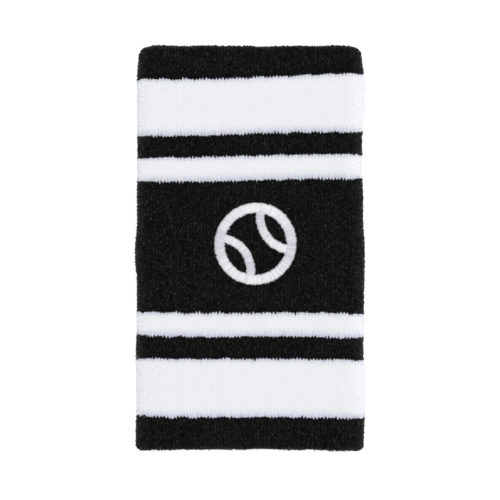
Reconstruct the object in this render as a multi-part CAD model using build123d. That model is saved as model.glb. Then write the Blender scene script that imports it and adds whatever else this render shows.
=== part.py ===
"""A long sweat wristband, lying flat: a double-ply terry tube with an embroidered ball emblem.

One knitted ground tube carries everything. It runs down the outside, turns inwards over a lip at
each end and comes back up the inside as the lining, where its two raw ends meet in a closing seam.
Terry pile stands on its face in nine stripes, and on the lining in black. Laid-in elastic yarns lie
on its back, between the two plies.

Frame: X across the flat width, Y along the length, Z up, the origin at the centre of the underside.
Millimetres. Places through a wall are heights above the middle of the wall: plus is towards the
outside of the tube, minus is towards the wrist.
"""
import os

from build123d import *

# The flat band
LENGTH = 127.0
WIDTH = 72.0
TUNNEL_GAP = 4.6  # between the two lining faces, where the wrist goes

# Through one wall, from its middle outwards; the wall is the same on both sides
PLY_GAP = 0.2  # half the space left between the two layers of elastic
ELASTIC_SPACE = 0.3
GROUND = 0.4
PILE = 1.3

# Stripes, from each end to the middle stripe
UPPER_END_BLACK = 9.6
LOWER_END_BLACK = 10.2
WIDE_WHITE = 18.3
THIN_BLACK = 6.9
THIN_WHITE = 7.6

# Elastic strands, laid flat on the back of the ground
ELASTIC_WIDTH = 1.0
ELASTIC_HEIGHT = 0.25
ELASTIC_PITCH = 6.0
ELASTIC_END_MARGIN = 5.0

# Closing seam, in the lining near one end
SEAM_FROM_END = 9.0
SEAM_VALLEY = 1.2  # width of the bare line through the lining's pile
SEAM_SLIT = 0.1
SEAM_THREAD_WIDTH = 0.8
SEAM_THREAD_HEIGHT = 0.4
RAW_EDGE = 0.6  # how far each raw edge stands up between the plies

# Ball emblem, in satin stitch
EMBLEM_X = 1.7
EMBLEM_Y = 1.2
EMBLEM_RADIUS = 12.8
RING_STROKE = 3.1
ARC_STROKE = 2.6
ARC_RADIUS = 10.5
ARC_CENTRE = 14.6  # from the emblem's centre to each arc's centre
ARC_TILT = 35.0
SATIN_PROUD = 0.1  # above the pile around it
PRESSED_PILE = 0.5  # what the stitches leave of the pile's height
UNDERLAY = 0.3
UNDERLAY_INSET = 0.6
STITCH_CLEARANCE = 0.05
BACKING = 0.15
BACKING_MARGIN = 3.0
BOBBIN_THREAD = 0.15
BOBBIN_SHARE = 0.35  # of a column's width, where the bobbin thread shows on the back

# Worked out from the sizes above
ELASTIC_TOP = PLY_GAP + ELASTIC_SPACE
GROUND_TOP = ELASTIC_TOP + GROUND
HALF_WALL = GROUND_TOP + PILE
THICKNESS = 4 * HALF_WALL + TUNNEL_GAP
MIDDLE = THICKNESS / 2  # the height of the tube's axis
BEND = MIDDLE - HALF_WALL  # radius of the wall's middle at the two side folds
STRAIGHT = WIDTH - THICKNESS  # between the axes of the two side folds
LIP_Y = LENGTH / 2 - HALF_WALL  # where each end's lip starts to turn
SEAM_Y = LENGTH / 2 - SEAM_FROM_END


def at_level(low, high, start, end):
    """A rectangle of wall section, from one height to another and from one Y to another."""
    place = Pos(BEND + (low + high) / 2, (start + end) / 2)
    return place * Rectangle(high - low, end - start)


def lip(inner, outer):
    """The half ring of wall section that turns over the lip at the +Y end."""
    turn = Circle(outer) - Circle(inner) if inner else Circle(outer)
    beyond = Pos(0, outer) * Rectangle(4 * outer, 2 * outer)
    return Pos(BEND, LIP_Y) * (turn & beyond)


def around(section):
    """The closed ring that a wall section makes when it goes once round the flat tube."""
    turned = revolve(section, Axis.Y, 360)
    right = Pos(STRAIGHT / 2, 0, MIDDLE) * split(turned, Plane.YZ, keep=Keep.TOP)
    left = Pos(-STRAIGHT / 2, 0, MIDDLE) * split(turned, Plane.YZ, keep=Keep.BOTTOM)
    ring = right + left
    for angle in (-90, 90):
        upright = Pos(0, 0, MIDDLE) * (Rot(0, angle, 0) * section)
        ring += extrude(upright, STRAIGHT / 2, dir=(1, 0, 0), both=True)
    return ring.clean()


def mirrored(shape):
    """The same shape at the other end of the band."""
    return mirror(shape, Plane.XZ)


def rows(first, last, pitch):
    """Evenly spaced Y positions, centred between first and last."""
    count = int((last - first) / pitch)
    start = (first + last - count * pitch) / 2
    return [start + i * pitch for i in range(count + 1)]


# Pile stripes on the outside


def end_stripe(start):
    """The end stripe at +Y, with the pile that rolls over the lip."""
    return around(at_level(GROUND_TOP, HALF_WALL, start, LIP_Y) + lip(GROUND_TOP, HALF_WALL))


def stripe(start, end):
    """A stripe between the two end stripes."""
    return around(at_level(GROUND_TOP, HALF_WALL, start, end))


def stripe_edges(end_black):
    """How far the four stripe edges near one end are from the middle of the length."""
    edges = [LENGTH / 2 - end_black]
    for width in (WIDE_WHITE, THIN_BLACK, THIN_WHITE):
        edges.append(edges[-1] - width)
    return edges


def outer_stripes():
    """Nine stripes of outer pile by node name, from the +Y end to the -Y end."""
    upper = stripe_edges(UPPER_END_BLACK)
    lower = stripe_edges(LOWER_END_BLACK)
    edges = upper + [-y for y in reversed(lower)]
    stripes = [stripe(low, high) for high, low in zip(edges, edges[1:])]
    stripes[3] -= emblem_pocket()
    stripes = [end_stripe(upper[0]), *stripes, mirrored(end_stripe(lower[0]))]
    colours = ("black", "white")
    return {f"outer_pile_{i + 1}_{colours[i % 2]}": s for i, s in enumerate(stripes)}


# Lining, ground and elastic


def lining_pile():
    """The lining's pile on each side of the closing seam."""
    edge = SEAM_VALLEY / 2
    upper = around(at_level(-HALF_WALL, -GROUND_TOP, SEAM_Y + edge, LIP_Y))
    lower = around(at_level(-HALF_WALL, -GROUND_TOP, -LIP_Y, SEAM_Y - edge))
    return {"lining_pile_upper": upper, "lining_pile_lower": lower}


def ground_tube():
    """The knitted tube: outer ply, two lips and lining, with its raw edges turned up at the seam."""
    turned_over = lip(ELASTIC_TOP, GROUND_TOP)
    section = at_level(ELASTIC_TOP, GROUND_TOP, -LIP_Y, LIP_Y) + turned_over + mirrored(turned_over)
    half_slit = SEAM_SLIT / 2
    raw_top = -ELASTIC_TOP + RAW_EDGE
    for edge, far in ((SEAM_Y + half_slit, LIP_Y), (SEAM_Y - half_slit, -LIP_Y)):
        side = 1 if far > 0 else -1
        low, high = sorted((edge, far))
        section += at_level(-GROUND_TOP, -ELASTIC_TOP, low, high)
        low, high = sorted((edge, edge + side * GROUND))
        section += at_level(-GROUND_TOP, raw_top, low, high)
    return around(section)


def elastic_rings(low, high, places):
    """Elastic strands between two heights, one ring at each place along the tube."""
    ring = around(at_level(low, high, -ELASTIC_WIDTH / 2, ELASTIC_WIDTH / 2))
    return Compound(children=[Pos(0, y, 0) * ring for y in places])


def elastic():
    """The strands on the back of the outer ply, and those on the back of the lining."""
    low = ELASTIC_TOP - ELASTIC_HEIGHT
    reach = LENGTH / 2 - ELASTIC_END_MARGIN
    places = rows(-reach, reach, ELASTIC_PITCH)
    clear_of_seam = [y for y in places if abs(y - SEAM_Y) > GROUND + ELASTIC_WIDTH]
    return {
        "elastic_strands_outer": elastic_rings(low, ELASTIC_TOP, places),
        "elastic_strands_lining": elastic_rings(-ELASTIC_TOP, -low, clear_of_seam),
    }


def closing_seam():
    """The linking thread that draws the two raw edges together, in the bare line of the lining."""
    half = SEAM_THREAD_WIDTH / 2
    return around(at_level(-GROUND_TOP - SEAM_THREAD_HEIGHT, -GROUND_TOP, SEAM_Y - half, SEAM_Y + half))


# Emblem


def ring_outline(inset=0.0):
    return Circle(EMBLEM_RADIUS - inset) - Circle(EMBLEM_RADIUS - RING_STROKE + inset)


def arc_outline(side, inset=0.0):
    """One of the ball's two seam arcs, clear of the ring around it."""
    half = ARC_STROKE / 2 - inset
    arc = Pos(side * ARC_CENTRE, 0) * (Circle(ARC_RADIUS + half) - Circle(ARC_RADIUS - half))
    inside = Circle(EMBLEM_RADIUS - RING_STROKE - STITCH_CLEARANCE - inset)
    return Rot(0, 0, ARC_TILT) * (arc & inside)


def plate(outline, low, high):
    """A flat plate of the emblem, between two heights above the upper wall's middle."""
    return extrude(Pos(EMBLEM_X, EMBLEM_Y, MIDDLE + BEND + low) * outline, high - low)


def emblem_pocket():
    """The room that the stitches press into the pile."""
    floor = GROUND_TOP + PRESSED_PILE
    top = HALF_WALL + SATIN_PROUD
    pocket = plate(ring_outline(-STITCH_CLEARANCE), floor, top)
    for side in (-1, 1):
        pocket += plate(arc_outline(side), floor, top)
    return pocket


def emblem():
    """The emblem's satin columns, the underlay beneath them, and the backing and bobbin thread."""
    pressed = GROUND_TOP + PRESSED_PILE
    underlay = (pressed, pressed + UNDERLAY)
    satin = (pressed + UNDERLAY, HALF_WALL + SATIN_PROUD)
    backing = (PLY_GAP - BACKING, PLY_GAP)
    bobbin = (backing[0] - BOBBIN_THREAD, backing[0])
    ring_bobbin = RING_STROKE * (1 - BOBBIN_SHARE) / 2
    arc_bobbin = ARC_STROKE * (1 - BOBBIN_SHARE) / 2

    def group(levels, ring_inset, arc_inset):
        outlines = [ring_outline(ring_inset), arc_outline(-1, arc_inset), arc_outline(1, arc_inset)]
        return Compound(children=[s for o in outlines for s in plate(o, *levels).solids()])

    return {
        "emblem_ring_satin": plate(ring_outline(), *satin),
        "emblem_left_arc_satin": plate(arc_outline(-1), *satin),
        "emblem_right_arc_satin": plate(arc_outline(1), *satin),
        "emblem_underlay": group(underlay, UNDERLAY_INSET, UNDERLAY_INSET),
        "emblem_backing": plate(Circle(EMBLEM_RADIUS + BACKING_MARGIN), *backing),
        "emblem_bobbin_thread": group(bobbin, ring_bobbin, arc_bobbin),
    }


def main():
    parts = {
        **outer_stripes(),
        **lining_pile(),
        "ground_knit_tube": ground_tube(),
        **elastic(),
        "closing_seam_thread": closing_seam(),
        **emblem(),
    }
    os.makedirs("parts", exist_ok=True)
    for name, shape in parts.items():
        export_step(shape, f"parts/{name}.step")
    print(f"{len(parts)} nodes, {WIDTH} x {LENGTH} x {THICKNESS + SATIN_PROUD} mm")


main()
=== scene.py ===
"""Looks of the sweat wristband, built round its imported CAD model.

Lengths are in millimetres until a mesh is written. Every layer of the wall is placed by wall():
t runs round the girth from the middle of the upper face, v runs along the outer ply and on over
each lip into the lining, and h is the height above the middle of the wall, on the pile's side.
"""
import math

import bpy
import numpy as np
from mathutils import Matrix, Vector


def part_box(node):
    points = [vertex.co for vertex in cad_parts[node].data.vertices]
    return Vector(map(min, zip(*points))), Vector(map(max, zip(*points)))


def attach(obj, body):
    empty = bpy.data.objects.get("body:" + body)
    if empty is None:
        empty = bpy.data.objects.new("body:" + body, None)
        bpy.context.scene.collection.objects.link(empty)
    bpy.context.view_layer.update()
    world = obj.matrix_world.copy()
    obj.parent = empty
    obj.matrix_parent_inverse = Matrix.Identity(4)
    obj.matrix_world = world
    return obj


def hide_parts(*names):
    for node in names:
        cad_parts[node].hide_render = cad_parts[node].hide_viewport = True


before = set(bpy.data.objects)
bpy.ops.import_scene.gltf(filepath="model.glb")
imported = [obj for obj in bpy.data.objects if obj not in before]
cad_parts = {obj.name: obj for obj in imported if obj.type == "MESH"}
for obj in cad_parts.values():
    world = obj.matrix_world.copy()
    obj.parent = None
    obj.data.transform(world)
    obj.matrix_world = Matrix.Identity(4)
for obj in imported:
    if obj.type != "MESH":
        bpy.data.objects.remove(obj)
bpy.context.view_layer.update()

MM = 0.001
COLOURS = ("black", "white")
STRIPES = [f"outer_pile_{i + 1}_{COLOURS[i % 2]}" for i in range(9)]


def mm_box(node):
    """A CAD node's lowest and highest corners, in millimetres."""
    return [np.array(corner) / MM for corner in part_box(node)]


# Sizes read from the frame
BAND_HIGH = np.max([mm_box(name)[1] for name in STRIPES], axis=0)
GROUND_BOX = mm_box("ground_knit_tube")
LINING_BOX = mm_box("lining_pile_lower")
SEAM_BOX = mm_box("closing_seam_thread")
STRAND_BOX = mm_box("elastic_strands_outer")
RING_BOX = mm_box("emblem_ring_satin")
UNDERLAY_BOX = mm_box("emblem_underlay")
BACKING_BOX = mm_box("emblem_backing")

HALF_WIDTH = BAND_HIGH[0]
HALF_LENGTH = BAND_HIGH[1]
THICKNESS = BAND_HIGH[2]
MIDDLE = THICKNESS / 2
STRAIGHT = 2 * HALF_WIDTH - THICKNESS
PILE = HALF_WIDTH - GROUND_BOX[1][0]
GROUND = GROUND_BOX[1][0] - STRAND_BOX[1][0]
BEND = (THICKNESS / 2 + LINING_BOX[1][0] - STRAIGHT / 2 - PILE) / 2
HALF_WALL = THICKNESS / 2 - BEND
GROUND_TOP = HALF_WALL - PILE
GROUND_BACK = GROUND_TOP - GROUND
LIP_Y = HALF_LENGTH - HALF_WALL
SEAM_Y = (SEAM_BOX[0][1] + SEAM_BOX[1][1]) / 2
STRIPE_EDGES = [mm_box(name)[0][1] for name in STRIPES[:-1]]
EMBLEM_X, EMBLEM_Y = (RING_BOX[0] + RING_BOX[1])[:2] / 2
EMBLEM_RADIUS = (RING_BOX[1][0] - RING_BOX[0][0]) / 2

EMBLEM_LEVEL = MIDDLE + BEND  # where the emblem's heights are counted from
SATIN_LOW, SATIN_HIGH = RING_BOX[0][2] - EMBLEM_LEVEL, RING_BOX[1][2] - EMBLEM_LEVEL
UNDERLAY_LOW = UNDERLAY_BOX[0][2] - EMBLEM_LEVEL
BACKING_LOW, BACKING_HIGH = BACKING_BOX[0][2] - EMBLEM_LEVEL, BACKING_BOX[1][2] - EMBLEM_LEVEL

# Layout of the wall
LIP_ARC = 1.5  # radius at which v is true length on the lips
LIP_END = LIP_Y + math.pi * LIP_ARC
OUTER_REACH = BEND + GROUND_TOP + PILE / 2  # where t is true length in the outer pile
LINING_REACH = BEND - GROUND_TOP - PILE / 2
HALF_SEAM_LINE = 0.6  # of the bare line through the lining's pile

# Layout of the ball emblem
RING_STROKE = 3.1
RING_MIDDLE = EMBLEM_RADIUS - RING_STROKE / 2
ARC_STROKE = 2.6
ARC_RADIUS = 10.5
ARC_CENTRE = 14.6  # from the emblem's centre to each arc's centre
ARC_TILT = math.radians(35.0)

YARN_SIDES = 6  # of every yarn and thread


# Shape of the relaxed band

# How far each side fold stands out: place along the tube, spread, left side, right side
SIDE_WAVES = (
    (46, 8.5, -0.1, 0.6),
    (29, 9.5, -0.15, -0.3),
    (-1.5, 6, 0.6, 0.05),
    (-4, 10, 0, 0.5),
    (-18.5, 5, 0, 0.28),
    (-24.5, 3, 0.1, 0.4),
    (-34, 5, 0.3, 0.1),
    (-44, 7, 0, 0.28),
    (-46, 9.5, 0.2, 0.65),
    (-59.5, 5, 0.4, 0.25),
)
SIDE_INSET = 0.2
UPPER_NARROWING = 0.75  # of each side fold at the upper end
UPPER_SAG = 1.1  # of the upper wall over the tunnel
STRIPE_LEAN = 0.9  # rise of the uppermost stripe edges at the right side
STRIPE_DIP = 0.8  # of the uppermost stripe edge in the middle
STRIPE_SWAY = 0.2  # slow wave of every stripe edge
SWAY_LENGTH = 70
LOWER_RISE = 0.3  # of the lower stripes
LOWER_LEAN = 0.4  # fall of the lower stripes at the right side
UPPER_CORNER = 0.75  # how far the upper corners fall back
CORNER_SKEW = 0.1  # how much less the right one does, and how much more the left one
LOWER_CORNER = 0.6  # how far the lower corners reach out
UPPER_REACH = 0.15  # how far the whole upper lip does
LIP_WAVE = 0.12
# Short stretches of lip that stray: place across, spread, how far towards -Y, and which end
LIP_STRAYS = ((4, 4, 0.35, 1), (25, 6, 0.3, -1))

# Where along the tube each of these comes in, from none of it to all of it
NARROWS = (54, HALF_LENGTH + 1.5)
LEANS = (-10, 58)
DIPS = (42, 54)
LOWER_RISES = (-8, -25)
STRAIGHTENS = (HALF_LENGTH, HALF_LENGTH - 8)  # stripes at the very ends lie straight
CORNERS = (50, HALF_LENGTH)
REACHES = (60, HALF_LENGTH)
WAVES = (HALF_LENGTH - 6, HALF_LENGTH)
STRAYS = (56, HALF_LENGTH)
# And where across it, as a share of the half width
FOLDS = (0.55, 1.0)
CORNER_SIDES = (0.8, 1.02)


def smooth(start, end, value):
    """0 up to start, 1 from end on, and smooth between them."""
    share = np.clip((value - start) / (end - start), 0, 1)
    return share * share * (3 - 2 * share)


def ripple(u, w, seed):
    """Smooth noise from about -1 to 1, whose bumps are about one unit of u and w apart."""
    draw = np.random.default_rng(seed)
    total = 0
    for _ in range(7):
        turn = draw.uniform(0, 2 * math.pi)
        pace = draw.uniform(2.2, 4.4)
        phase = draw.uniform(0, 2 * math.pi)
        total = total + np.sin(pace * (u * math.cos(turn) + w * math.sin(turn)) + phase)
    return total / 3.2


def side_shift(side, y):
    """How far the side folds stand out, in full on the folds and not at all in the middle."""
    shift = -SIDE_INSET - UPPER_NARROWING * smooth(*NARROWS, y)
    for place, spread, left, right in SIDE_WAVES:
        shift = shift + np.where(side < 0, left, right) * np.exp(-(((y - place) / spread) ** 4))
    return shift * smooth(*FOLDS, np.abs(side))


def stripe_shift(x, side, y):
    """How far the stripes lean, sway, dip and rise along the tube."""
    lean = STRIPE_LEAN * smooth(*LEANS, y) * side
    sway = STRIPE_SWAY * np.sin(2 * math.pi * (x + 1.5) / SWAY_LENGTH)
    dip = STRIPE_DIP * (1 - side**2) * smooth(*DIPS, y)
    lower = (LOWER_RISE - LOWER_LEAN * side) * smooth(*LOWER_RISES, y)
    return (lean + sway - dip + lower) * smooth(*STRAIGHTENS, np.abs(y))


def end_shift(x, side, y):
    """How far the lips and corners of the two ends stray along the tube."""
    corner = smooth(*CORNER_SIDES, np.abs(side))
    upper = (UPPER_CORNER - CORNER_SKEW * np.sign(side)) * corner * smooth(*CORNERS, y)
    lower = LOWER_CORNER * corner * smooth(*CORNERS, -y)
    wave = LIP_WAVE * ripple(x / 9, np.sign(y), 4) * smooth(*WAVES, np.abs(y))
    shift = UPPER_REACH * smooth(*REACHES, y) - upper - lower + wave
    for place, spread, stray, end in LIP_STRAYS:
        shift = shift - stray * np.exp(-(((x - place) / spread) ** 2)) * smooth(*STRAYS, end * y)
    return shift


def soften(x, y, z):
    """Moves points of the stiff CAD shape to where the relaxed cloth lies."""
    side = np.clip(x / HALF_WIDTH, -1, 1)
    out = np.sign(side) * side_shift(side, y)
    along = stripe_shift(x, side, y) + end_shift(x, side, y)
    sag = UPPER_SAG * (1 - side**2) * (0.8 + 0.25 * ripple(x / 22, y / 26, 3))
    upper = smooth(2.0, THICKNESS - 2.0, z)
    return x + out, y + along, z - upper * sag


def wall(t, v, h, reach=OUTER_REACH):
    """Points of the wall. t is true length at the distance reach from the tube's axis."""
    turn = math.pi * reach
    u = np.mod(t + STRAIGHT / 2, 2 * (STRAIGHT + turn))
    folds_turned = np.clip((u - STRAIGHT) / turn, 0, 1) + np.clip((u - 2 * STRAIGHT - turn) / turn, 0, 1)
    angle = math.pi * folds_turned
    axis_x = np.clip(u, 0, STRAIGHT) - np.clip(u - STRAIGHT - turn, 0, STRAIGHT) - STRAIGHT / 2
    over = np.maximum(np.abs(v) - LIP_Y, 0)
    lip = np.clip(over / LIP_ARC, 0, math.pi)
    back = np.maximum(over - math.pi * LIP_ARC, 0)
    out = BEND + h * np.cos(lip)
    y = np.sign(v) * (np.minimum(np.abs(v), LIP_Y) - back + h * np.sin(lip))
    x, y, z = soften(axis_x + np.sin(angle) * out, y, MIDDLE + np.cos(angle) * out)
    return np.stack([x, y, np.maximum(z, 0)], axis=-1)


def outward_of(t, v, reach):
    """Unit vectors square to the cloth, on the pile's side."""
    low = np.full(np.shape(t), GROUND_TOP)
    step = wall(t, v, low + PILE, reach) - wall(t, v, low, reach)
    return step / (np.linalg.norm(step, axis=-1, keepdims=True) + 1e-9)


def girth(reach):
    """Length once round the tube, at a distance from its axis."""
    return 2 * (STRAIGHT + math.pi * reach)


# Meshes


class Parts:
    """Quads gathered for one mesh.

    Each point has a place on the cloth, three tones, and the way out of the cloth.
    """

    def __init__(self):
        self.points = []
        self.faces = []
        self.places = []
        self.tones = []
        self.outward = []
        self.count = 0

    def add(self, points, faces, places, tones, outward=None):
        self.points.append(points.reshape(-1, 3))
        self.faces.append(faces.reshape(-1, 4) + self.count)
        self.places.append(places.reshape(-1, 2))
        self.tones.append(tones.reshape(-1, 3))
        upright = np.tile([0.0, 0.0, 1.0], (len(self.points[-1]), 1))
        self.outward.append(upright if outward is None else outward.reshape(-1, 3))
        self.count += len(self.points[-1])

    def make(self, name, slot, material, replaced):
        """The mesh object, on the root body."""
        points = np.concatenate(self.points) * MM
        faces = np.concatenate(self.faces)
        places = np.concatenate(self.places)
        mesh = bpy.data.meshes.new(name)
        mesh.vertices.add(len(points))
        mesh.vertices.foreach_set("co", points.astype(np.float32).ravel())
        mesh.loops.add(faces.size)
        mesh.loops.foreach_set("vertex_index", faces.astype(np.int32).ravel())
        mesh.polygons.add(len(faces))
        mesh.polygons.foreach_set("loop_start", np.arange(0, faces.size, 4, dtype=np.int32))
        mesh.polygons.foreach_set("use_smooth", np.ones(len(faces), dtype=bool))
        low, high = places.min(axis=0), places.max(axis=0)
        extent = np.maximum(high - low, 1e-6)
        uv = mesh.uv_layers.new(name="OFBake")
        uv.data.foreach_set("uv", ((places - low) / extent)[faces.ravel()].astype(np.float32).ravel())
        for label, values in (("tone", self.tones), ("outward", self.outward)):
            attribute = mesh.attributes.new(label, "FLOAT_VECTOR", "POINT")
            attribute.data.foreach_set("vector", np.concatenate(values).astype(np.float32).ravel())
        mesh.update(calc_edges=True)
        mesh.materials.append(material)
        made = bpy.data.objects.new(name, mesh)
        bpy.context.scene.collection.objects.link(made)
        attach(made, "root")
        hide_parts(*replaced)
        return made


def grid_faces(rows, columns, closed):
    """Quads of a grid of points, row by row; closed joins the last column to the first."""
    index = np.arange(rows * columns).reshape(rows, columns)
    right = np.roll(index, -1, axis=1)
    if not closed:
        index, right = index[:, :-1], right[:, :-1]
    return np.stack([index[:-1], right[:-1], right[1:], index[1:]], axis=-1).reshape(-1, 4)


def strands(paths, across, radius):
    """Closed six-sided tubes along many paths at once, as points and quads.

    paths is tubes x points x 3, and across is a direction for each tube, off its path's plane.
    """
    count, length = paths.shape[:2]
    along = np.gradient(paths, axis=1)
    along /= np.linalg.norm(along, axis=2, keepdims=True) + 1e-9
    across = np.broadcast_to(across[:, None, :], paths.shape)
    up = np.cross(along, across)
    up /= np.linalg.norm(up, axis=2, keepdims=True) + 1e-9
    across = np.cross(up, along)
    angle = 2 * math.pi * (np.arange(YARN_SIDES) + 0.5) / YARN_SIDES
    radius = np.broadcast_to(radius, (count, length))[:, :, None, None]
    ring = up[:, :, None, :] * np.sin(angle)[:, None] + across[:, :, None, :] * np.cos(angle)[:, None]
    points = paths[:, :, None, :] + radius * ring
    body = grid_faces(length, YARN_SIDES, closed=True)
    last = (length - 1) * YARN_SIDES
    caps = [
        [0, 3, 2, 1],
        [last, last + 1, last + 2, last + 3],
        [0, 5, 4, 3],
        [last, last + 3, last + 4, last + 5],
    ]
    faces = np.concatenate([body, np.array(caps)])
    starts = np.arange(count)[:, None, None] * length * YARN_SIDES
    return points, faces[None] + starts


def rim_faces(start, end, count, flip):
    """Quads that join an edge of a skin's upper points to the same edge of its lower points."""
    quads = np.stack([start, end, end + count, start + count], axis=-1)
    return quads[:, ::-1] if flip else quads


def ring_rims(index, flipped):
    """The rims of a closed grid's first and last rows. flipped is the row whose rim faces the other way."""
    return [rim_faces(index[row], np.roll(index[row], -1), index.size, row == flipped) for row in (0, -1)]


def with_own_points(values, rims):
    """The values of the rims' corners, so that rims share no point, and no shading, with a skin."""
    flat = values.reshape(-1, values.shape[-1])
    return np.concatenate([flat, flat[np.concatenate(rims).ravel()]])


# Materials


def nodes_of(name):
    """A new material, its node tree, and its principled shader."""
    material = bpy.data.materials.new(name)
    material.use_nodes = True
    tree = material.node_tree
    return material, tree, tree.nodes["Principled BSDF"]


def noise(tree, scale, detail):
    """A noise texture on the object's own coordinates, in bumps per metre."""
    place = tree.nodes.new("ShaderNodeTexCoord")
    texture = tree.nodes.new("ShaderNodeTexNoise")
    texture.inputs["Scale"].default_value = scale
    texture.inputs["Detail"].default_value = detail
    tree.links.new(place.outputs["Object"], texture.inputs["Vector"])
    return texture.outputs["Fac"]


def set_or_link(tree, socket, value):
    """Gives a socket a number or a colour, or links another socket to it."""
    if isinstance(value, bpy.types.NodeSocket):
        tree.links.new(value, socket)
    elif isinstance(value, tuple):
        socket.default_value = (*value, 1)
    else:
        socket.default_value = value


def mixed(tree, share, first, second):
    """A mix of two colours, each given as itself or by a socket."""
    mix = tree.nodes.new("ShaderNodeMix")
    mix.data_type = "RGBA"
    set_or_link(tree, mix.inputs["Factor"], share)
    for letter, value in (("A", first), ("B", second)):
        socket = [s for s in mix.inputs if s.name == letter and s.type == "RGBA"][0]
        set_or_link(tree, socket, value)
    return [s for s in mix.outputs if s.type == "RGBA"][0]


def product(tree, first, second):
    """One number times another, each given as itself or by a socket."""
    node = tree.nodes.new("ShaderNodeMath")
    node.operation = "MULTIPLY"
    set_or_link(tree, node.inputs[0], first)
    set_or_link(tree, node.inputs[1], second)
    return node.outputs[0]


def stretched(tree, value, low, high):
    """A value stretched so that low becomes 0 and high becomes 1."""
    node = tree.nodes.new("ShaderNodeMapRange")
    node.interpolation_type = "SMOOTHSTEP"
    node.inputs["From Min"].default_value = low
    node.inputs["From Max"].default_value = high
    tree.links.new(value, node.inputs["Value"])
    return node.outputs["Result"]


def bump(tree, shader, height, distance, strength):
    """Fine relief, distance millimetres deep, that only changes the shading."""
    node = tree.nodes.new("ShaderNodeBump")
    node.inputs["Distance"].default_value = distance * MM
    node.inputs["Strength"].default_value = strength
    tree.links.new(height, node.inputs["Height"])
    tree.links.new(node.outputs["Normal"], shader.inputs["Normal"])


def tones_of(tree):
    """The three tones written on the mesh: the yarn's own (on the emblem's stitches also a painted sheen by
    their direction), the share of painted shade beside stripe edges and on the side folds, and height,
    which the materials turn into painted shade at the roots and at stitch ends.
    """
    attribute = tree.nodes.new("ShaderNodeAttribute")
    attribute.attribute_name = "tone"
    split = tree.nodes.new("ShaderNodeSeparateXYZ")
    tree.links.new(attribute.outputs["Vector"], split.inputs["Vector"])
    return split.outputs


def facing_away(tree):
    """0 where the cloth faces the viewer, to 1 where it is seen edge on, whatever its loops do."""
    attribute = tree.nodes.new("ShaderNodeAttribute")
    attribute.attribute_name = "outward"
    weight = tree.nodes.new("ShaderNodeLayerWeight")
    weight.inputs["Blend"].default_value = 0.5
    tree.links.new(attribute.outputs["Vector"], weight.inputs["Normal"])
    return weight.outputs["Facing"]


def pile_material(name, dark, light, shade_colour, fuzz, grain, cloud):
    """Terry yarn: painted shade towards the roots, lighter tips, loops that differ, and painted shade
    beside stripe edges and on the side folds.

    fuzz is the sheen of loose fibres where the cloth is seen edge on, grain is how much the
    fibres of one loop differ, and cloud is how much larger patches of the cloth do.
    """
    material, tree, shader = nodes_of(name)
    own, shade_share, height = tones_of(tree)
    fibres = tree.nodes.new("ShaderNodeMath")
    fibres.operation = "MULTIPLY_ADD"
    fibres.use_clamp = True
    set_or_link(tree, fibres.inputs[0], noise(tree, 2300, 2))
    set_or_link(tree, fibres.inputs[1], grain)
    set_or_link(tree, fibres.inputs[2], own)
    body = mixed(tree, fibres.outputs[0], dark, light)
    # Painted shade: darker towards the roots of the loops and in the pile's body, lighter at the tips.
    body = mixed(tree, stretched(tree, height, 0.0, 0.9), dark, body)
    cloudy = stretched(tree, noise(tree, 140, 3), 0.3, 0.7)
    body = mixed(tree, product(tree, cloudy, cloud), body, light)
    # Painted shade beside stripe edges and on the side folds.
    body = mixed(tree, shade_share, body, shade_colour)
    tree.links.new(body, shader.inputs["Base Color"])
    shader.inputs["Roughness"].default_value = 0.95
    shader.inputs["Diffuse Roughness"].default_value = 0.8
    shader.inputs["Specular IOR Level"].default_value = 0.1
    sheen = product(tree, stretched(tree, facing_away(tree), 0.0, 1.0), fuzz)
    tree.links.new(sheen, shader.inputs["Sheen Weight"])
    shader.inputs["Sheen Roughness"].default_value = 0.5
    bump(tree, shader, noise(tree, 5200, 4), 0.12, 0.6)
    return material


def thread_material(name, shaded, lit, roughness, sheen):
    """Embroidery or sewing thread, with a twist. Its colour is mixed from the shaded and the lit copy by
    the own tone, which on the stitches is a painted sheen that follows each stitch's direction, with random
    unevenness; and it turns to the shaded copy at a stitch's ends, which is painted shade where the thread
    goes into the cloth.
    """
    material, tree, shader = nodes_of(name)
    own, _, height = tones_of(tree)
    # Painted light: the own tone picks between the shaded and the lit copy of the thread.
    body = mixed(tree, own, shaded, lit)
    # Painted shade towards a stitch's ends, where the thread goes into the cloth.
    body = mixed(tree, stretched(tree, height, 0.0, 0.55), shaded, body)
    tree.links.new(body, shader.inputs["Base Color"])
    shader.inputs["Roughness"].default_value = roughness
    shader.inputs["Specular IOR Level"].default_value = 0.5
    shader.inputs["Sheen Weight"].default_value = sheen
    bump(tree, shader, noise(tree, 3800, 2), 0.04, 0.5)
    return material


def knit_material(name, dark, light, roughness):
    """Plain knit: rows of small stitches."""
    material, tree, shader = nodes_of(name)
    place = tree.nodes.new("ShaderNodeTexCoord")
    waves = []
    for direction, scale in (("X", 190), ("Y", 240)):
        wave = tree.nodes.new("ShaderNodeTexWave")
        wave.bands_direction = direction
        wave.inputs["Scale"].default_value = scale
        wave.inputs["Distortion"].default_value = 1.5
        wave.inputs["Detail Scale"].default_value = 3.0
        tree.links.new(place.outputs["Object"], wave.inputs["Vector"])
        waves.append(wave.outputs["Fac"])
    stitch = product(tree, *waves)
    shade = mixed(tree, stretched(tree, noise(tree, 900, 3), 0.3, 0.7), dark, light)
    shade = mixed(tree, stitch, dark, shade)
    tree.links.new(shade, shader.inputs["Base Color"])
    shader.inputs["Roughness"].default_value = roughness
    shader.inputs["Sheen Weight"].default_value = 0.2
    bump(tree, shader, stitch, 0.15, 0.8)
    return material


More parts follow.
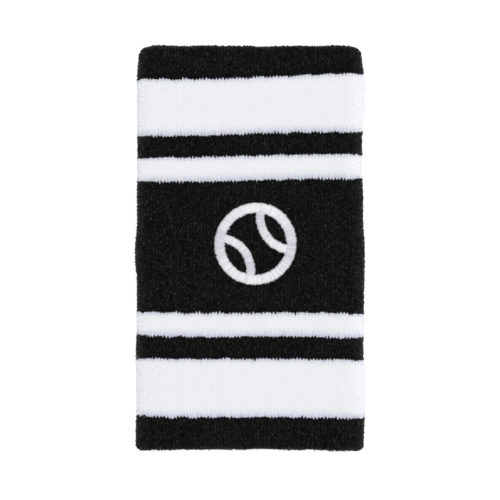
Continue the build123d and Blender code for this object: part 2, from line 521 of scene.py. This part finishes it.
PILE_MATERIALS = {
    "black": pile_material(
        "black_pile",
        dark=(0.001, 0.001, 0.001),
        light=(0.05, 0.05, 0.05),
        # Painted shade beside stripe edges: a deeper black.
        shade_colour=(0.006, 0.006, 0.009),
        fuzz=0.24,
        grain=1.9,
        cloud=0.05,
    ),
    "white": pile_material(
        "white_pile",
        dark=(0.907, 0.911, 0.931),
        light=(0.93, 0.932, 0.95),
        # Painted shade beside stripe edges: a bluish grey.
        shade_colour=(0.58, 0.62, 0.73),
        fuzz=0.0,
        grain=0.1,
        cloud=0.1,
    ),
}
# Lilac-grey shaded and white lit copies of the satin thread: painted light.
SATIN = thread_material("emblem_satin_thread", (0.62, 0.63, 0.71), (0.975, 0.975, 0.98), 0.38, 0.3)
BOBBIN = thread_material("emblem_bobbin_thread", (0.6, 0.6, 0.6), (0.8, 0.8, 0.8), 0.7, 0.1)
SEAM = thread_material("closing_seam_thread", (0.006, 0.006, 0.007), (0.035, 0.035, 0.037), 0.6, 0.2)
GROUND_KNIT = knit_material("ground_knit", (0.006, 0.006, 0.007), (0.03, 0.03, 0.032), 0.9)
ELASTIC = knit_material("covered_elastic", (0.02, 0.02, 0.022), (0.09, 0.09, 0.095), 0.55)
BACKING = knit_material("nonwoven_backing", (0.62, 0.62, 0.62), (0.82, 0.82, 0.82), 0.9)


# Pile

WALES = 148  # columns of loops once round the tube
COURSE = 0.85  # loop spacing along the tube
MOUTH_DEPTH = 14.0  # how far in from each mouth the lining's loops are as close as outside
DEEP_COURSE = 2.0  # loop spacing along the tube beyond that
DEEP_STEP = 2  # wales from one column of loops to the next beyond that
PIECE_AREA = 1500.0  # of outer pile in one mesh, at most

YARN_RADIUS = 0.2
LOOP_STEPS = 9
LOOP_BOW = 126.0  # degrees that each half of a loop turns through
LOOP_LENGTH = 0.87 * PILE
LOOP_UNEVEN = 0.12  # how much loops differ in length, as a share of the pile's height
LOOP_HALF_WIDTH = (0.16, 0.28)
LOOP_TURN = 0.5  # radians that a loop's plane strays from its wale
LOOP_TWIST = 0.6
LOOP_CALMED = 0.6  # how much less uneven, turned and twisted the calmest loops are
LOOP_BEND = (0.4, 0.2)  # radians that a loop leans over, and how much that differs
LEAST_BEND = 0.05
PRESSED_BEND = 0.5  # more of it where the pile is pressed together
PRESSED_EVEN = 0.7  # and how much less uneven the loops are there
EDGE_UPRIGHT = 0.55  # share of the lean that is missing at a stripe edge
EDGE_UPRIGHT_REACH = 0.9
ROOT_DEPTH = 0.15  # how far a loop's two ends go into the ground
ROOT_STRAY = 0.0525  # of the loops' roots round the girth
OWN_TONE = -0.68  # leaves room for the fibres' grain, which is added to it
LOOP_TONE = 0.2  # how much loops differ in tone

# Each wale's own shift as a share of a course, its loops' length as a share of the pile, and tone
WALE_DRAW = np.random.default_rng(5)
WALE_SHIFT = WALE_DRAW.uniform(-0.3, 0.3, WALES)
WALE_LENGTH = WALE_DRAW.uniform(-0.015, 0.015, WALES)
WALE_TONE = WALE_DRAW.uniform(-0.012, 0.012, WALES)

# The pile's body under the loops: its share of the pile's height, its lumps, and how even the loops are
SKINS = {"black": (0.28, 0.08, 0.0), "white": (0.72, 0.01, 0.9)}
FULL_SKIN = 0.72  # where the pile is pressed together
EDGE_SKIN = 0.35  # beside a stripe edge, at most
STITCHED_SKIN = 0.35  # millimetres of pile left under the emblem
STITCHED_MARGIN = 1.15  # how far from a satin stroke's middle, in half strokes, the pile is like that
BARE_MARGIN = 1.12  # and how far there are no loops
SKIN_PER_WALE = 3
SKIN_STEP = 0.7
LINING_SKIN = 0.34
LINING_LUMPS = 0.12
LINING_STEP = 0.8

TOOTH = 0.28  # how far black pokes past a stripe edge at each wale, and white between wales
FRAY_WAVES = ((0.16, 2.6, 11), (0.18, 1.2, 12))  # slow waves of a stripe edge: height, length, seed
FRAY_REACH = 1.4  # how far from an edge the pile still strays with it
FOLD_SHADE = 0.1  # share of painted shade on the side folds
FOLD_SHADE_REACH = 6.5
FOLD_PRESS = 2.6  # how far from a side fold the pile is pressed together
LIP_PRESS = 1.4


def nearest_edge(v):
    """Which stripe edge is nearest. Black is above the even ones, and below the odd ones."""
    return np.argmin(np.abs(np.asarray(v)[..., None] - np.array(STRIPE_EDGES)), axis=-1)


def above_edge(v):
    """Signed distance from the nearest stripe edge."""
    return v - np.array(STRIPE_EDGES)[nearest_edge(v)]


def edge_distance(v):
    return np.abs(above_edge(v))


def fray(t, v):
    """How far each place near a stripe edge strays along the tube: slow waves, and a tooth at each wale."""
    near = np.exp(-((above_edge(v) / FRAY_REACH) ** 2))
    slow = sum(height * ripple(t / length, v / 9, seed) for height, length, seed in FRAY_WAVES)
    towards_white = np.where(nearest_edge(v) % 2 == 0, -1, 1)
    tooth = TOOTH * towards_white * (1 + 0.6 * ripple(t / 1.5, v / 9, 13))
    return near * (slow - tooth * np.cos(2 * math.pi * WALES * t / girth(OUTER_REACH)))


def from_fold(t):
    """Distance round the girth from the nearer side fold."""
    half = girth(OUTER_REACH) / 2
    return np.abs(np.mod(t, half) - half / 2)


def painted_edge_shade(t, v):
    """Share of painted shade: streaks beside stripe edges, further up than down, and a little on the side
    folds.
    """
    streak = np.clip(0.6 + 0.4 * np.sin(t * 8.5 + 2 * ripple(t / 1.5, v / 5, 31)), 0, 1)
    above = smooth(-0.3, 0.3, above_edge(v))
    shade_share = np.exp(-((edge_distance(v) / (0.8 + 0.8 * above)) ** 2)) * streak
    return np.maximum(shade_share, FOLD_SHADE * np.exp(-((from_fold(t) / FOLD_SHADE_REACH) ** 2)))


def emblem_distance(x, y):
    """Distance from the middle of the nearest satin stroke, in half strokes."""
    ex, ey = x - EMBLEM_X, y - EMBLEM_Y
    from_centre = np.hypot(ex, ey)
    nearest = np.abs(from_centre - RING_MIDDLE) / (RING_STROKE / 2)
    turned_x = ex * math.cos(ARC_TILT) + ey * math.sin(ARC_TILT)
    turned_y = ey * math.cos(ARC_TILT) - ex * math.sin(ARC_TILT)
    for side in (-1, 1):
        arc = np.abs(np.hypot(turned_x - side * ARC_CENTRE, turned_y) - ARC_RADIUS) / (ARC_STROKE / 2)
        nearest = np.where(from_centre < RING_MIDDLE, np.minimum(nearest, arc), nearest)
    return nearest


def stitched_over(t, v, margin):
    """True under the emblem's strokes, up to a margin in half strokes."""
    on_upper_face = np.abs(t) < STRAIGHT / 2  # where t is the same as x
    return on_upper_face & (emblem_distance(t, v) < margin)


def pressed(t, v):
    """1 along the side folds and the lips, where the pile is pressed together, down to 0 away from them."""
    from_lip = np.abs(np.abs(v) - LIP_Y - LIP_ARC * math.pi / 2)
    return np.maximum(np.exp(-((from_fold(t) / FOLD_PRESS) ** 2)), np.exp(-((from_lip / LIP_PRESS) ** 2)))


def skin_height(t, v, share, lumps):
    """Top of the pile's body under the loops."""
    lumpy = ripple(t / 1.1, v / 1.3, 21)
    share = share - max(share - EDGE_SKIN, 0) * np.exp(-((edge_distance(v) / 0.6) ** 2))
    share = share + (FULL_SKIN - share) * pressed(t, v)
    height = GROUND_TOP + PILE * (share + lumps * lumpy)
    return np.where(stitched_over(t, v, STITCHED_MARGIN), GROUND_TOP + STITCHED_SKIN, height)


def skin_tones(t, v):
    own = OWN_TONE + 0.1 * ripple(t / 1.3, v / 1.6, 32)
    # The third tone, 0.45, gives the pile's body painted shade, half way to the dark colour.
    return np.stack([own, painted_edge_shade(t, v), np.full(t.shape, 0.45)], axis=-1)


def loop_paths(t, v, number, draw, calm):
    """Middle lines of terry loops: bows of yarn that stand along their wale, lean over and twist.

    number is each loop's wale, and calm is 0 for wild loops and 1 for even ones. Gives the lines,
    the direction across each loop, and the yarn's radius along it.
    """
    count = len(t)
    wild = 1 - LOOP_CALMED * calm
    bow = np.radians(np.linspace(-LOOP_BOW, LOOP_BOW, LOOP_STEPS))
    flat = pressed(t, v)
    uneven = WALE_LENGTH[number] + draw.uniform(-LOOP_UNEVEN, LOOP_UNEVEN, count)
    length = LOOP_LENGTH + PILE * wild * uneven * (1 - PRESSED_EVEN * flat)
    half_width = draw.uniform(*LOOP_HALF_WIDTH, count)
    turn = math.pi / 2 + draw.normal(0, LOOP_TURN * wild, count)
    twist = draw.normal(0, LOOP_TWIST * wild, count)
    mean_bend, bend_spread = LOOP_BEND
    bend = np.abs(draw.normal(mean_bend, bend_spread * wild, count)) + LEAST_BEND + PRESSED_BEND * flat
    bend = bend * (1 - EDGE_UPRIGHT * np.exp(-((edge_distance(v) / EDGE_UPRIGHT_REACH) ** 2)))
    toward = draw.uniform(0, 2 * math.pi, count)
    fall = (1 - np.cos(bow)) / (1 - math.cos(bow[-1]))
    share = 1 - (1 + ROOT_DEPTH / length)[:, None] * fall
    angle = turn[:, None] + twist[:, None] * share
    over = (length / bend)[:, None]
    forward = over * (1 - np.cos(bend[:, None] * share))
    up = over * np.sin(bend[:, None] * share)
    wide = half_width[:, None] * np.sin(bow) * 1.1
    along_t = wide * np.cos(angle) + forward * np.cos(toward)[:, None]
    along_v = wide * np.sin(angle) + forward * np.sin(toward)[:, None]
    paths = np.stack([t[:, None] + along_t, v[:, None] + along_v, GROUND_TOP + up], axis=-1)
    across = np.stack([-np.sin(turn), np.cos(turn), np.zeros(count)], axis=-1)
    radius = YARN_RADIUS * draw.uniform(0.85, 1.15, (count, 1)) * (0.85 + 0.15 * np.cos(bow / 1.5))
    return paths, across, radius


def add_loops(parts, t, v, number, reach, draw, calm):
    """Terry loops rooted at t and v, which stray with the stripe edge near them."""
    paths, across, radius = loop_paths(t, v, number, draw, calm)
    points, faces = strands(paths, across, radius)
    strayed = points[..., 1] + fray(t, v)[:, None, None]
    place = wall(points[..., 0], strayed, points[..., 2], reach)
    # Share of painted shade beside stripe edges and on the side folds, a little uneven from loop to loop.
    shade_share = painted_edge_shade(t, v) * draw.uniform(0.5, 1, len(t))
    own = OWN_TONE + WALE_TONE[number] + draw.normal(0, LOOP_TONE, len(t))
    # Height along each loop, which the material turns into painted shade towards the roots.
    lifted = np.clip((paths[..., 2] - GROUND_TOP) / PILE, 0, 1)[:, :, None]
    shape = points.shape[:-1]
    tones = (own[:, None, None], shade_share[:, None, None], lifted)
    tones = np.stack([np.broadcast_to(tone, shape) for tone in tones], axis=-1)
    outward = np.broadcast_to(outward_of(t, v, reach)[:, None, None], (*shape, 3))
    parts.add(place, faces, points[..., :2], tones, outward)


def sectors_of(count, around):
    """The sectors of a stripe: each one's number, first and last wale, and the t where they are."""
    edges = np.round(np.linspace(0, WALES, count + 1)).astype(int)
    for sector, (first, last) in enumerate(zip(edges, edges[1:])):
        t_low, t_high = (wale * around / WALES - around / 4 for wale in (first, last))
        yield sector, first, last, t_low, t_high


def knit_places(first, last, step, around, v_low, v_high, course, draw):
    """Roots of the loops of some wales, each a little out of place, and their wales' numbers."""
    number = np.arange(first, last, step)
    courses = max(1, round((v_high - v_low) / course))
    t = (number + 0.5) * around / WALES - around / 4
    v = v_low + (np.arange(courses) + 0.5) * (v_high - v_low) / courses
    tt, vv = np.meshgrid(t, v)
    tt = tt + draw.normal(0, ROOT_STRAY, tt.shape)
    vv = vv + course * WALE_SHIFT[number] * smooth(0.3, 2, edge_distance(vv))
    vv = vv + draw.normal(0, 0.1 * course, vv.shape)
    return tt.ravel(), vv.ravel(), np.broadcast_to(number, tt.shape).ravel()


def outer_stripe(index):
    """One stripe of outer pile, as a few meshes side by side round the girth."""
    node = STRIPES[index]
    colour = COLOURS[index % 2]
    share, lumps, calm = SKINS[colour]
    v_high = LIP_END if index == 0 else STRIPE_EDGES[index - 1]
    v_low = -LIP_END if index == len(STRIPES) - 1 else STRIPE_EDGES[index]
    around = girth(OUTER_REACH)
    count = math.ceil(around * (v_high - v_low) / PIECE_AREA)
    made = []
    for sector, first, last, t_low, t_high in sectors_of(count, around):
        draw = np.random.default_rng(100 * index + sector)
        parts = Parts()
        t, v, number = knit_places(first, last, 1, around, v_low, v_high, COURSE, draw)
        keep = ~stitched_over(t, v, BARE_MARGIN)
        add_loops(parts, t[keep], v[keep], number[keep], OUTER_REACH, draw, calm)
        grid_t = np.linspace(t_low, t_high, SKIN_PER_WALE * (last - first) + 1)
        grid_v = np.linspace(v_low, v_high, round((v_high - v_low) / SKIN_STEP) + 1)
        top = skin_height(*np.meshgrid(grid_t, grid_v), share, lumps)
        parts.add(*frayed_shell(grid_t, grid_v, top, OUTER_REACH))
        name = f"{node}_{'abcdef'[sector]}"
        made.append(parts.make(name, f"{colour}_pile", PILE_MATERIALS[colour], (node,)))
    return made


def frayed_shell(t, v, top, reach):
    """The pile's body, from the ground up to top, with edges that stray as the loops do."""
    tt, vv = np.meshgrid(t, v)
    moved = vv + fray(tt, vv)
    upper = wall(tt, moved, top, reach)
    lower = wall(tt, moved, np.full(tt.shape, GROUND_TOP), reach)
    faces = grid_faces(len(v), len(t), closed=False)
    count = tt.size
    index = np.arange(count).reshape(tt.shape)
    rims = [
        rim_faces(index[0, :-1], index[0, 1:], count, True),
        rim_faces(index[-1, :-1], index[-1, 1:], count, False),
        rim_faces(index[:-1, 0], index[1:, 0], count, False),
        rim_faces(index[:-1, -1], index[1:, -1], count, True),
    ]
    own = np.arange(4 * sum(len(rim) for rim in rims)).reshape(-1, 4) + 2 * count
    faces = np.concatenate([faces, faces[:, ::-1] + count, own])
    places = np.broadcast_to(np.stack([tt, vv], axis=-1), (2, *tt.shape, 2))
    tones = np.broadcast_to(skin_tones(tt, vv), (2, *tt.shape, 3))
    outward = np.broadcast_to(outward_of(tt, moved, reach), (2, *tt.shape, 3))
    points, places, tones, outward = (
        with_own_points(values, rims) for values in (np.stack([upper, lower]), places, tones, outward)
    )
    return points, faces, places, tones, outward


def lining(name, sign):
    """The lining's pile from the lip at one end, +Y or -Y by its sign, to the closing seam."""
    depth = LIP_Y - sign * SEAM_Y - HALF_SEAM_LINE
    start, end = LIP_END, LIP_END + depth
    bands = [(start, min(start + MOUTH_DEPTH, end), COURSE, 1)]
    if depth > MOUTH_DEPTH:
        bands.append((start + MOUTH_DEPTH, end, DEEP_COURSE, DEEP_STEP))
    around = girth(LINING_REACH)
    count = 2 * len(bands)
    made = []
    for sector, first, last, t_low, t_high in sectors_of(count, around):
        draw = np.random.default_rng(900 + 10 * sign + sector)
        parts = Parts()
        for near, far, course, step in bands:
            t, v, number = knit_places(first, last, step, around, near, far, course, draw)
            add_loops(parts, t, sign * v, number, LINING_REACH, draw, calm=0.0)
        grid_t = np.linspace(t_low, t_high, round((t_high - t_low) / LINING_STEP) + 1)
        grid_v = np.sort(sign * np.linspace(start, end, round(depth / LINING_STEP) + 1))
        tt, vv = np.meshgrid(grid_t, grid_v)
        top = GROUND_TOP + PILE * (LINING_SKIN + LINING_LUMPS * ripple(tt / 1.1, vv / 1.3, 22))
        parts.add(*frayed_shell(grid_t, grid_v, top, LINING_REACH))
        made.append(parts.make(f"{name}_{'abcd'[sector]}", "black_pile", PILE_MATERIALS["black"], (name,)))
    return made


# Ground, elastic and seam

SEAM_GAP = 0.05  # from the middle of the closing seam to each raw edge
GROUND_COLUMNS = 150
GROUND_ROWS = 210
ELASTIC_RINGS = 20
ELASTIC_MARGIN = 0.5  # from the piece's ends to the first and last yarn
ELASTIC_RADIUS = 0.12
ELASTIC_CLEARANCE = 0.01  # from the ground's back
SEAM_CLEARANCE = 1.5
ELASTIC_STEPS = 240  # points round each yarn's length
COVER_PITCH = 1.2  # from one swelling of the covering to the next
ELASTIC_SWAY = 0.12
SWAY_PITCH = 7
CHAIN_PITCH = 1.6
CHAIN_RADIUS = 0.17
CHAIN_HEIGHT = 0.3  # above the ground
CHAIN_LINK = (1.15, 0.42, 0.16)  # half length and half width of a link, and how far it tips


def plain_tone(shape):
    """The same middle tones at every point."""
    return np.full((*shape, 3), 0.6)


def ground_cloth():
    """The knitted tube, folded in over both lips, as one closed cloth; and its flat size in metres."""
    reach = BEND
    around = girth(reach)
    t = np.linspace(0, around, GROUND_COLUMNS, endpoint=False)
    upper_end = LIP_END + LIP_Y - SEAM_Y - SEAM_GAP
    lower_end = -(LIP_END + LIP_Y + SEAM_Y - SEAM_GAP)
    v = np.linspace(lower_end, upper_end, GROUND_ROWS)
    tt, vv = np.meshgrid(t, v)
    face = wall(tt, vv, np.full(tt.shape, GROUND_TOP), reach)
    back = wall(tt, vv, np.full(tt.shape, GROUND_BACK), reach)
    faces = grid_faces(len(v), len(t), closed=True)
    count = tt.size
    index = np.arange(count).reshape(tt.shape)
    rims = ring_rims(index, flipped=0)
    faces = np.concatenate([faces, faces[:, ::-1] + count, *rims])
    parts = Parts()
    places = np.broadcast_to(np.stack([tt, vv], axis=-1), (2, *tt.shape, 2))
    parts.add(np.stack([face, back]), faces, places, plain_tone((2, *tt.shape)))
    made = parts.make("ground_knit_cloth", "ground_knit", GROUND_KNIT, ("ground_knit_tube",))
    return made, (around * MM, (upper_end - lower_end) * MM)


def elastic(node, in_lining):
    """The covered rubber yarns behind one ply, once round each: they swell and sway along their length."""
    low, high = mm_box(node)
    y = np.linspace(low[1] + ELASTIC_MARGIN, high[1] - ELASTIC_MARGIN, ELASTIC_RINGS)
    places = y
    if in_lining:
        y = y[np.abs(y - SEAM_Y) > SEAM_CLEARANCE]
        places = np.where(y > SEAM_Y, LIP_END + LIP_Y - y, -(LIP_END + LIP_Y + y))
    height = GROUND_BACK - ELASTIC_RADIUS - ELASTIC_CLEARANCE
    around = girth(BEND)
    t = np.linspace(0, around, ELASTIC_STEPS, endpoint=False)
    once = 2 * math.pi * t / around
    radius = (ELASTIC_RADIUS * (1 + 0.12 * np.sin(np.round(around / COVER_PITCH) * once)))[:, None]
    angle = 2 * math.pi * (np.arange(YARN_SIDES) + 0.5) / YARN_SIDES
    index = np.arange(ELASTIC_STEPS * YARN_SIDES).reshape(ELASTIC_STEPS, YARN_SIDES)
    after = np.roll(index, -1, axis=0)
    faces = np.stack([index, after, np.roll(after, -1, axis=1), np.roll(index, -1, axis=1)], axis=-1)
    parts = Parts()
    for number, v in enumerate(places):
        sway = ELASTIC_SWAY * np.sin(np.round(around / SWAY_PITCH) * once + number)
        ring_v = v + sway[:, None] + radius * np.cos(angle)
        ring_h = height + radius * np.sin(angle)
        ring_t = np.broadcast_to(t[:, None], ring_v.shape)
        tones = np.broadcast_to((0.5 + 0.4 * np.sin(t * 3.1))[:, None, None], (*ring_v.shape, 3))
        parts.add(wall(ring_t, ring_v, ring_h, BEND), faces, np.stack([ring_t, ring_v], axis=-1), tones)
    return parts.make(f"{node}_yarn", "elastic", ELASTIC, (node,))


def closing_seam():
    """A row of linked loops of thread in the bare line between the lining's two edges."""
    half_length, half_width, tip = CHAIN_LINK
    around = girth(LINING_REACH)
    count = round(around / CHAIN_PITCH)
    t = (np.arange(count) * around / count)[:, None]
    seam_v = LIP_END + LIP_Y - SEAM_Y
    bow = np.linspace(0, 2 * math.pi, 12, endpoint=False)
    link_t = t + half_length * np.cos(bow)
    link_v = seam_v + half_width * np.sin(bow) * np.ones_like(t)
    link_h = GROUND_TOP + CHAIN_HEIGHT + tip * np.cos(bow) * np.ones_like(t)
    paths = np.stack([link_t, link_v, link_h], axis=-1)
    paths = np.concatenate([paths, paths[:, :1]], axis=1)
    across = np.tile([0.0, 0.0, 1.0], (count, 1))
    points, faces = strands(paths, across, CHAIN_RADIUS)
    place = wall(points[..., 0], points[..., 1], points[..., 2], LINING_REACH)
    parts = Parts()
    parts.add(place, faces, points[..., :2], plain_tone(points.shape[:-1]))
    return parts.make("closing_seam_chain", "seam_thread", SEAM, ("closing_seam_thread",))


# Ball emblem

STITCH_PITCH = 0.27
STITCH_RADIUS = 0.15
STITCH_STEPS = 9
STITCH_SLIP = 0.13  # of a stitch's ends, in and out
STITCH_LIFT = 0.03  # how much their heights differ
STITCH_TONE = 0.2
UNDERLAY_INSET = 0.6
UNDERLAY_RADIUS = 0.14
BOBBIN_INSET = 1.0
BOBBIN_RADIUS = 0.07
BACKING_RINGS = 22
BACKING_SPOKES = 96

# Heights of a stitch's two ends and of its middle
SATIN_LEVELS = (SATIN_LOW + STITCH_RADIUS, SATIN_HIGH - STITCH_RADIUS)
BETWEEN_LEVELS = (SATIN_LEVELS[0] - 0.1, SATIN_LEVELS[1] - 0.13)  # half way between those stitches
UNDERLAY_LEVELS = (UNDERLAY_LOW + 0.1, UNDERLAY_LOW + 0.2)
BOBBIN_LEVELS = (BACKING_LOW - 0.04, BACKING_LOW - 0.08)


def add_stitches(parts, inner, outer, draw, levels, radius):
    """Threads laid side by side, each from a point of inner to a point of outer."""
    base, crown = levels
    count = len(inner)
    share = np.linspace(0, 1, STITCH_STEPS)
    slip = draw.normal(0, STITCH_SLIP, (count, 2, 1))
    way = outer - inner
    unit = way / np.linalg.norm(way, axis=1, keepdims=True)
    start, end = inner + slip[:, 0] * unit, outer + slip[:, 1] * unit
    flat = start[:, None] + share[None, :, None] * (end - start)[:, None]
    arch = (1 - np.abs(2 * share - 1) ** 3.2) ** 0.6
    lift = crown + draw.normal(0, STITCH_LIFT, count)
    rise = base + (lift[:, None] - base) * arch
    paths = np.concatenate([flat, rise[..., None]], axis=-1)
    across = np.stack([-unit[:, 1], unit[:, 0], np.zeros(count)], axis=-1)
    thin = radius * (0.75 + 0.25 * arch) * draw.uniform(0.92, 1.08, (count, 1))
    points, faces = strands(paths, across, thin)
    place = wall(points[..., 0], points[..., 1], points[..., 2])
    shape = points.shape[:-1]
    # Painted sheen: stitches that run along the tube get a lighter tone than those that run across it, with
    # random unevenness.
    upright = 0.3 + 0.55 * np.abs(unit[:, 1]) + draw.normal(0, STITCH_TONE, count)
    own = np.broadcast_to(np.clip(upright, 0, 1)[:, None, None], shape)
    # Height along each stitch, which the material turns into painted shade at its ends.
    lifted = np.broadcast_to(arch[None, :, None], shape)
    parts.add(place, faces, points[..., :2], np.stack([own, np.zeros(shape), lifted], axis=-1))


def half_way(ends):
    """Points half way between each end and the next."""
    return (ends[:-1] + ends[1:]) / 2


def ring_stitch_lines(inset):
    """Ends of the ring's stitches, on its inner and outer circles."""
    radii = (EMBLEM_RADIUS - RING_STROKE + inset, EMBLEM_RADIUS - inset)
    count = round(2 * math.pi * RING_MIDDLE / STITCH_PITCH)
    angle = np.arange(count) * 2 * math.pi / count
    centre = np.array([EMBLEM_X, EMBLEM_Y])
    return [centre + r * np.stack([np.cos(angle), np.sin(angle)], axis=-1) for r in radii]


def arc_stitch_lines(side, inset):
    """Ends of one arc's stitches. They run out to where the arc meets the ring."""
    limit = EMBLEM_RADIUS - RING_STROKE
    cosine = (ARC_CENTRE**2 + ARC_RADIUS**2 - limit**2) / (2 * ARC_CENTRE * ARC_RADIUS)
    reach = math.acos(cosine) + 0.02
    count = round(2 * reach * ARC_RADIUS / STITCH_PITCH)
    angle = np.linspace(-reach, reach, count) + (math.pi if side > 0 else 0)
    cos_tilt, sin_tilt = math.cos(ARC_TILT), math.sin(ARC_TILT)
    lines = []
    for r in (ARC_RADIUS - ARC_STROKE / 2 + inset, ARC_RADIUS + ARC_STROKE / 2 - inset):
        x = side * ARC_CENTRE + r * np.cos(angle)
        y = r * np.sin(angle)
        turned = np.stack([x * cos_tilt - y * sin_tilt, x * sin_tilt + y * cos_tilt], axis=-1)
        distance = np.linalg.norm(turned, axis=1, keepdims=True)
        turned *= np.minimum(1, (limit + 0.1) / distance)
        lines.append(turned + [EMBLEM_X, EMBLEM_Y])
    return lines


def emblem():
    """The ball emblem: three satin columns on their underlay, the backing and the bobbin thread."""
    draw = np.random.default_rng(77)
    columns = (
        ("emblem_ring_satin", ring_stitch_lines),
        ("emblem_left_arc_satin", lambda inset: arc_stitch_lines(-1, inset)),
        ("emblem_right_arc_satin", lambda inset: arc_stitch_lines(1, inset)),
    )
    made = []
    underlay, bobbin = Parts(), Parts()
    for node, lines in columns:
        parts = Parts()
        inner, outer = lines(0.0)
        add_stitches(parts, inner, outer, draw, SATIN_LEVELS, STITCH_RADIUS)
        add_stitches(parts, half_way(inner), half_way(outer), draw, BETWEEN_LEVELS, STITCH_RADIUS)
        made.append(parts.make(f"{node}_stitches", "emblem_thread", SATIN, (node,)))
        inner, outer = lines(UNDERLAY_INSET)
        add_stitches(underlay, inner[::3], outer[::3], draw, UNDERLAY_LEVELS, UNDERLAY_RADIUS)
        inner, outer = lines(BOBBIN_INSET)
        add_stitches(bobbin, inner[::2], outer[::2], draw, BOBBIN_LEVELS, BOBBIN_RADIUS)
    made.append(underlay.make("emblem_underlay_stitches", "emblem_thread", SATIN, ("emblem_underlay",)))
    made.append(bobbin.make("emblem_bobbin_stitches", "bobbin_thread", BOBBIN, ("emblem_bobbin_thread",)))
    made.append(backing())
    return made


def backing():
    """The thin patch of backing behind the emblem."""
    radius = (BACKING_BOX[1][0] - BACKING_BOX[0][0]) / 2
    rings = np.linspace(0.02, radius, BACKING_RINGS)
    angle = np.linspace(0, 2 * math.pi, BACKING_SPOKES, endpoint=False)
    aa, rr = np.meshgrid(angle, rings)
    x, y = EMBLEM_X + rr * np.cos(aa), EMBLEM_Y + rr * np.sin(aa)
    upper = wall(x, y, np.full(x.shape, BACKING_HIGH))
    lower = wall(x, y, np.full(x.shape, BACKING_LOW))
    faces = grid_faces(len(rings), len(angle), closed=True)
    count = x.size
    index = np.arange(count).reshape(x.shape)
    rims = ring_rims(index, flipped=-1)
    faces = np.concatenate([faces[:, ::-1], faces + count, *rims])
    parts = Parts()
    places = np.broadcast_to(np.stack([x, y], axis=-1), (2, *x.shape, 2))
    parts.add(np.stack([upper, lower]), faces, places, plain_tone((2, *x.shape)))
    return parts.make("emblem_backing_patch", "backing", BACKING, ("emblem_backing",))


# Stage, light and camera

FLOOR_RADIUS = 1.2  # metres
COVE = 0.3
FLOOR_GREY = 0.4
FLOOR_GLOW = 0.8  # keeps the floor white right up to the band

SKY = 0.37
SOFT_BOX_PLACE = (0.17, 0.1, 1.3)  # metres
SOFT_BOX_SIZE = 0.8
SOFT_BOX_WATTS = 10.6

LENS = 200
SENSOR = 36
VIEW_HEIGHT = 157.1  # millimetres of the scene across the picture, at the band's middle height
VIEW_DOWN = 0.66  # how far the band's centre is above the picture's centre


def stage():
    """A plain pale floor that curves up all round, far from the band."""
    profile = [(r, 0.0) for r in np.linspace(0.01, FLOOR_RADIUS, 5)]
    for angle in np.linspace(0, math.pi / 2, 13)[1:]:
        profile.append((FLOOR_RADIUS + COVE * math.sin(angle), COVE * (1 - math.cos(angle))))
    spin = np.linspace(0, 2 * math.pi, 64, endpoint=False)
    points = [(r * math.cos(a), r * math.sin(a), z) for r, z in profile for a in spin]
    faces = [tuple(int(i) for i in quad) for quad in grid_faces(len(profile), len(spin), closed=True)]
    faces.append(tuple(range(len(spin))))
    mesh = bpy.data.meshes.new("floor")
    mesh.from_pydata(points, [], faces)
    mesh.polygons.foreach_set("use_smooth", [True] * len(faces))
    floor = bpy.data.objects.new("floor", mesh)
    bpy.context.scene.collection.objects.link(floor)
    material, _, shader = nodes_of("pale_floor")
    shader.inputs["Base Color"].default_value = (FLOOR_GREY, FLOOR_GREY, FLOOR_GREY, 1)
    shader.inputs["Roughness"].default_value = 0.9
    shader.inputs["Specular IOR Level"].default_value = 0.0
    shader.inputs["Emission Color"].default_value = (1, 1, 1, 1)
    shader.inputs["Emission Strength"].default_value = FLOOR_GLOW
    mesh.materials.append(material)


def lights():
    """Even light from all round, and a large soft box overhead, a little to the right."""
    world = bpy.data.worlds.new("studio")
    world.use_nodes = True
    background = world.node_tree.nodes["Background"]
    background.inputs["Color"].default_value = (1, 1, 1, 1)
    background.inputs["Strength"].default_value = SKY
    bpy.context.scene.world = world
    data = bpy.data.lights.new("overhead_soft_box", "AREA")
    data.shape = "SQUARE"
    data.size = SOFT_BOX_SIZE
    data.energy = SOFT_BOX_WATTS
    soft_box = bpy.data.objects.new("overhead_soft_box", data)
    soft_box.location = SOFT_BOX_PLACE
    soft_box.rotation_mode = "QUATERNION"
    soft_box.rotation_quaternion = (-soft_box.location).to_track_quat("-Z", "Y")
    bpy.context.scene.collection.objects.link(soft_box)


def camera():
    """Straight above the band, with its upper end at the picture's top."""
    data = bpy.data.cameras.new("camera")
    data.lens = LENS
    data.sensor_width = SENSOR
    distance = VIEW_HEIGHT * MM * LENS / SENSOR
    made = bpy.data.objects.new("camera", data)
    made.location = (0, -VIEW_DOWN * MM, MIDDLE * MM + distance)
    data.clip_end = 10
    bpy.context.scene.collection.objects.link(made)
    bpy.context.scene.camera = made


def main():
    stage()
    lights()
    camera()
    on_cloth = []
    for index in range(len(STRIPES)):
        on_cloth += outer_stripe(index)
    on_cloth += lining("lining_pile_upper", 1)
    on_cloth += lining("lining_pile_lower", -1)
    on_cloth.append(closing_seam())
    on_cloth += emblem()
    on_cloth.append(elastic("elastic_strands_outer", in_lining=False))
    on_cloth.append(elastic("elastic_strands_lining", in_lining=True))
    cloth, flat = ground_cloth()
    bpy.context.scene.view_settings.view_transform = "Standard"


main()
